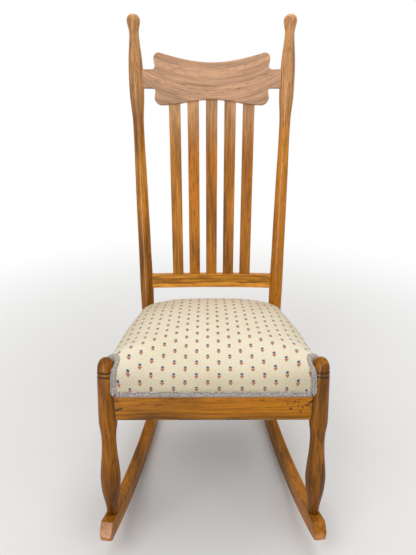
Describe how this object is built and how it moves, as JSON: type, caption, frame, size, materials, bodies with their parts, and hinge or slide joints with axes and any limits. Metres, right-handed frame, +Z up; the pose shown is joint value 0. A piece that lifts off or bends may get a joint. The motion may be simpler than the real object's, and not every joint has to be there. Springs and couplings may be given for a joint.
{
  "type": "rocking chair with a sprung upholstered seat",
  "caption": "Armless oak rocking chair with turned front legs and back posts, a slatted back, a shaped crest rail and a high sprung cushion in a patterned cover.",
  "frame": {"origin": "on the floor under the middle of the rockers' length, in the plane of symmetry", "axes": "+X to the right of somebody who faces the chair's front, +Y to the chair's back, +Z up"},
  "size_m": [0.4738, 0.624, 1.0781],
  "materials": {
    "turned_oak": "satin varnish",
    "rocker_oak": "gloss varnish",
    "rail_oak": "satin varnish",
    "crest_oak": "satin varnish",
    "slat_oak": "satin varnish",
    "peg_wood": "satin varnish",
    "block_wood": "unfinished",
    "steel": "dull",
    "tack_iron": "blued",
    "spring_steel": "bare wire",
    "jute_webbing": "woven",
    "burlap": "coarse woven",
    "padding": "matte",
    "cover_fabric": "woven, with a small repeated motif",
    "gimp_braid": "braided",
    "dust_cloth": "matte"
  },
  "bodies": {
    "root": {"front_leg_left": "turned_oak", "front_leg_right": "turned_oak", "back_post_left": "turned_oak", "back_post_right": "turned_oak", "rocker_left": "rocker_oak", "rocker_right": "rocker_oak", "rocker_pins": "peg_wood", "front_seat_rail": "rail_oak", "rear_seat_rail": "rail_oak", "side_seat_rail_left": "rail_oak", "side_seat_rail_right": "rail_oak", "rail_plug": "peg_wood", "corner_block_front_left": "block_wood", "corner_block_front_right": "block_wood", "corner_block_rear_left": "block_wood", "corner_block_rear_right": "block_wood", "corner_block_screws": "steel", "lower_back_rail": "rail_oak", "crest_rail": "crest_oak", "slat_1": "slat_oak", "slat_2": "slat_oak", "slat_3": "slat_oak", "slat_4": "slat_oak", "slat_5": "slat_oak", "webbing_lengthwise": "jute_webbing", "webbing_crosswise": "jute_webbing", "webbing_tacks": "tack_iron", "seat_springs": "spring_steel", "burlap": "burlap", "stuffing": "padding", "seat_cover": "cover_fabric", "gimp_front": "gimp_braid", "gimp_leg_left": "gimp_braid", "gimp_leg_right": "gimp_braid", "gimp_side_left": "gimp_braid", "gimp_side_right": "gimp_braid", "gimp_rear": "gimp_braid", "gimp_tacks": "tack_iron", "dust_cover": "dust_cloth", "dust_cover_tacks": "tack_iron"}
  },
  "joints": []
}
